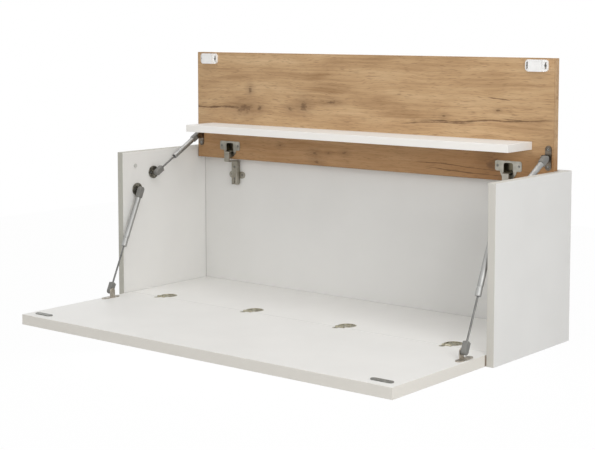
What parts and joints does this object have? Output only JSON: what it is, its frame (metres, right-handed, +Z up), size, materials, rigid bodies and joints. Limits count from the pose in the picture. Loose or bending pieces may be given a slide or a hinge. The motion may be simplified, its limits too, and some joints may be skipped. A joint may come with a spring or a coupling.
{
  "type": "fold down wall desk",
  "caption": "Shallow white wall case with a drop flap as work surface and an oak-decor lift-up lid that carries a shelf, on concealed hinges and gas struts.",
  "frame": {"origin": "on the wall face of the back panel, midway across, level with the work surface", "axes": "+X to the right seen from the front, +Y into the wall, +Z up"},
  "size_m": [1, 0.596, 0.572],
  "materials": {
    "white_board": "white melamine on particle board",
    "oak_board": "oak decor melamine on particle board",
    "beech_dowel": "plain beech",
    "nickel_steel": "nickel-plated pressed steel",
    "screw_steel": "zinc-plated steel",
    "zinc_die_cast": "zinc die casting",
    "white_plastic": "moulded, satin",
    "magnet_ferrite": "ferrite between steel poles",
    "strike_steel": "dark grey coated steel",
    "bracket_steel": "zinc-plated pressed steel",
    "black_steel": "black coated pressed steel",
    "strut_tube_steel": "silver coated tube",
    "rod_steel": "ground and blackened rod",
    "grey_plastic": "moulded, satin",
    "black_plastic": "moulded, satin",
    "piston_plastic": "moulded"
  },
  "bodies": {
    "case": {"left_side_panel": "white_board", "right_side_panel": "white_board", "back_panel": "white_board", "bottom_panel": "white_board", "case_screws": "screw_steel", "cam_locks": "zinc_die_cast", "cam_bolts": "screw_steel", "cover_caps": "white_plastic", "flap_hinge_cups": "nickel_steel", "flap_hinge_pins": "nickel_steel", "left_flap_strut_side_bracket": "black_steel", "left_lid_strut_side_bracket": "black_steel", "left_lid_hinge_arm": "nickel_steel", "left_lid_hinge_plate": "nickel_steel", "right_flap_strut_side_bracket": "black_steel", "right_lid_strut_side_bracket": "black_steel", "right_lid_hinge_arm": "nickel_steel", "right_lid_hinge_plate": "nickel_steel"},
    "flap": {"flap": "white_board", "flap_hinge_leaves": "nickel_steel", "flap_strikes": "strike_steel", "flap_screws": "screw_steel", "left_flap_strut_foot": "bracket_steel", "right_flap_strut_foot": "bracket_steel"},
    "lid": {"lid": "oak_board", "lid_shelf": "white_board", "shelf_dowels": "beech_dowel", "lid_hinge_pins": "nickel_steel", "catch_magnets": "magnet_ferrite", "lid_screws": "screw_steel", "left_lid_strut_foot": "bracket_steel", "left_lid_hinge_cup": "nickel_steel", "left_catch_housing": "white_plastic", "right_lid_strut_foot": "bracket_steel", "right_lid_hinge_cup": "nickel_steel", "right_catch_housing": "white_plastic"},
    "left_flap_strut_tube_end": {"left_flap_strut_tube": "strut_tube_steel", "left_flap_strut_guide": "black_plastic", "left_flap_strut_tube_socket": "grey_plastic"},
    "left_flap_strut_rod_end": {"left_flap_strut_rod": "rod_steel", "left_flap_strut_piston": "piston_plastic", "left_flap_strut_rod_socket": "grey_plastic"},
    "left_lid_strut_tube_end": {"left_lid_strut_tube": "strut_tube_steel", "left_lid_strut_guide": "black_plastic", "left_lid_strut_tube_socket": "grey_plastic"},
    "left_lid_strut_rod_end": {"left_lid_strut_rod": "rod_steel", "left_lid_strut_piston": "piston_plastic", "left_lid_strut_rod_socket": "grey_plastic"},
    "right_flap_strut_tube_end": {"right_flap_strut_tube": "strut_tube_steel", "right_flap_strut_guide": "black_plastic", "right_flap_strut_tube_socket": "grey_plastic"},
    "right_flap_strut_rod_end": {"right_flap_strut_rod": "rod_steel", "right_flap_strut_piston": "piston_plastic", "right_flap_strut_rod_socket": "grey_plastic"},
    "right_lid_strut_tube_end": {"right_lid_strut_tube": "strut_tube_steel", "right_lid_strut_guide": "black_plastic", "right_lid_strut_tube_socket": "grey_plastic"},
    "right_lid_strut_rod_end": {"right_lid_strut_rod": "rod_steel", "right_lid_strut_piston": "piston_plastic", "right_lid_strut_rod_socket": "grey_plastic"}
  },
  "joints": [
    {"name": "flap_hinge", "type": "hinge", "parent": "case", "child": "flap", "pos_m": [0, -0.272, 0], "axis": [-1, 0, 0], "range_deg": [0, 90]},
    {"name": "lid_hinge", "type": "hinge", "parent": "case", "child": "lid", "pos_m": [0, -0.036, 0.3155], "axis": [1, 0, 0], "range_deg": [0, 90]},
    {"name": "left_flap_strut_pivot", "type": "hinge", "parent": "flap", "child": "left_flap_strut_rod_end", "pos_m": [-0.471, -0.349, 0.015], "axis": [1, 0, 0], "range_deg": [0, 111.4]},
    {"name": "left_flap_strut_slide", "type": "slide", "parent": "left_flap_strut_rod_end", "child": "left_flap_strut_tube_end", "axis": [0, -0.4107, -0.9118], "range_m": [0, 0.08328]},
    {"name": "left_lid_strut_pivot", "type": "hinge", "parent": "lid", "child": "left_lid_strut_tube_end", "pos_m": [-0.471, -0.0575, 0.351], "axis": [-1, 0, 0], "range_deg": [0, 109.76]},
    {"name": "left_lid_strut_slide", "type": "slide", "parent": "left_lid_strut_tube_end", "child": "left_lid_strut_rod_end", "axis": [0, 0.87, 0.4931], "range_m": [0, 0.03286]},
    {"name": "right_flap_strut_pivot", "type": "hinge", "parent": "flap", "child": "right_flap_strut_rod_end", "pos_m": [0.471, -0.349, 0.015], "axis": [1, 0, 0], "range_deg": [0, 111.4]},
    {"name": "right_flap_strut_slide", "type": "slide", "parent": "right_flap_strut_rod_end", "child": "right_flap_strut_tube_end", "axis": [0, -0.4107, -0.9118], "range_m": [0, 0.08328]},
    {"name": "right_lid_strut_pivot", "type": "hinge", "parent": "lid", "child": "right_lid_strut_tube_end", "pos_m": [0.471, -0.0575, 0.351], "axis": [-1, 0, 0], "range_deg": [0, 109.76]},
    {"name": "right_lid_strut_slide", "type": "slide", "parent": "right_lid_strut_tube_end", "child": "right_lid_strut_rod_end", "axis": [0, 0.87, 0.4931], "range_m": [0, 0.03286]}
  ],
  "couplings": [
    {"joint": "left_flap_strut_pivot", "follows": "flap_hinge", "ratio": 1.2376},
    {"joint": "left_flap_strut_slide", "follows": "flap_hinge", "m_per_rad": 0.05302},
    {"joint": "left_lid_strut_pivot", "follows": "lid_hinge", "ratio": 1.2194},
    {"joint": "left_lid_strut_slide", "follows": "lid_hinge", "m_per_rad": 0.020917},
    {"joint": "right_flap_strut_pivot", "follows": "flap_hinge", "ratio": 1.2376},
    {"joint": "right_flap_strut_slide", "follows": "flap_hinge", "m_per_rad": 0.05302},
    {"joint": "right_lid_strut_pivot", "follows": "lid_hinge", "ratio": 1.2194},
    {"joint": "right_lid_strut_slide", "follows": "lid_hinge", "m_per_rad": 0.020917}
  ]
}
